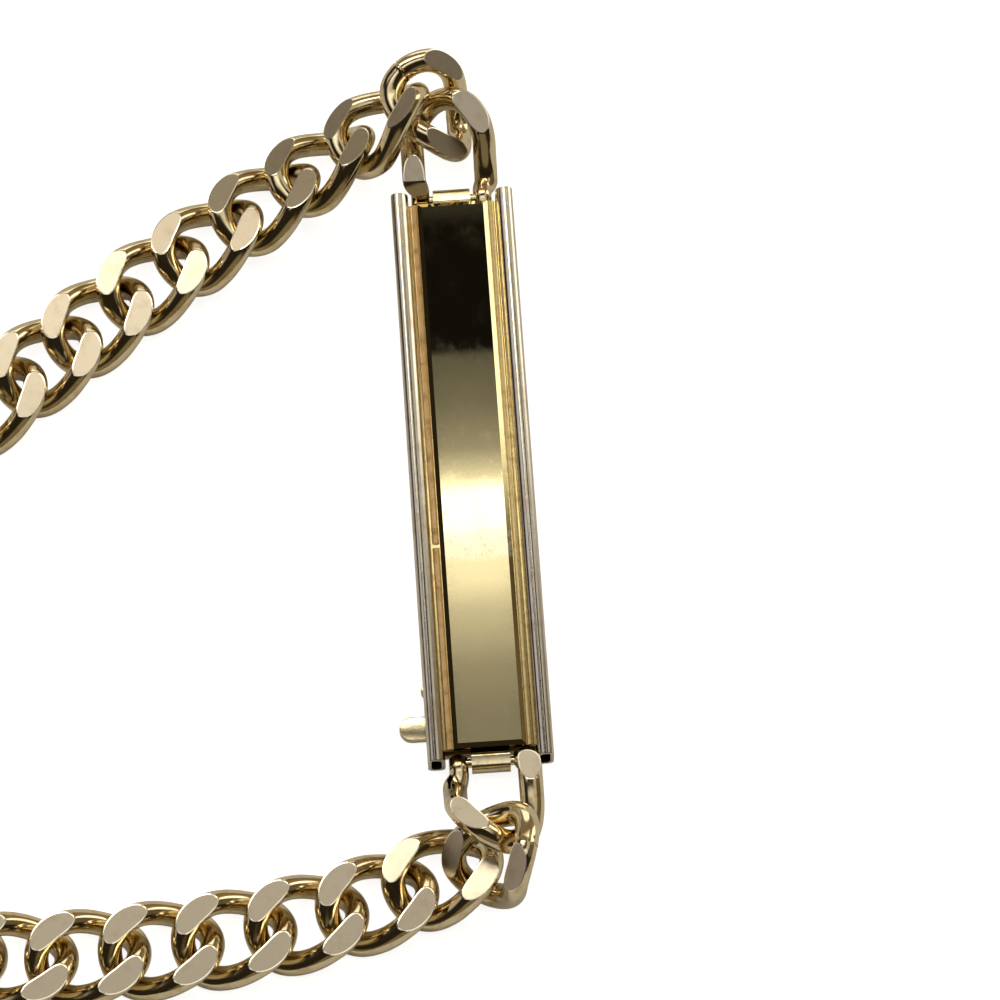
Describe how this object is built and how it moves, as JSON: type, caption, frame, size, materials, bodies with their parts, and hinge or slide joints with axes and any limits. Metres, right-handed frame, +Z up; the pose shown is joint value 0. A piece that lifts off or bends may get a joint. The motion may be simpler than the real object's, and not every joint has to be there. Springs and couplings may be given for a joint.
{
  "type": "id bracelet",
  "caption": "Identity bracelet with a bare curved-edge name plate, a folding clasp leaf under it and a flat curb chain.",
  "frame": {"origin": "on the table under the middle of the plate, on the underside of the clasp leaf", "axes": "+Y along the plate towards its upper end, +X across the plate away from the loop of chain, +Z up from the table"},
  "size_m": [0.0556, 0.0638, 0.0071],
  "materials": {
    "plate_metal": "polished",
    "clasp_metal": "satin",
    "chain_metal": "polished with diamond-cut flats"
  },
  "bodies": {
    "root": {"plate": "plate_metal", "clasp_leaf": "clasp_metal", "end_link_bottom": "chain_metal", "end_link_top": "chain_metal", "link_01": "chain_metal", "link_02": "chain_metal", "link_03": "chain_metal", "link_04": "chain_metal", "link_05": "chain_metal", "link_06": "chain_metal", "link_07": "chain_metal", "link_08": "chain_metal", "link_09": "chain_metal", "link_10": "chain_metal", "link_11": "chain_metal", "link_12": "chain_metal", "link_13": "chain_metal", "link_14": "chain_metal", "link_15": "chain_metal", "link_16": "chain_metal", "link_17": "chain_metal", "link_18": "chain_metal", "link_19": "chain_metal", "link_20": "chain_metal", "link_21": "chain_metal", "link_22": "chain_metal", "link_23": "chain_metal", "link_24": "chain_metal", "link_25": "chain_metal", "link_26": "chain_metal", "link_27": "chain_metal", "link_28": "chain_metal"}
  },
  "joints": []
}
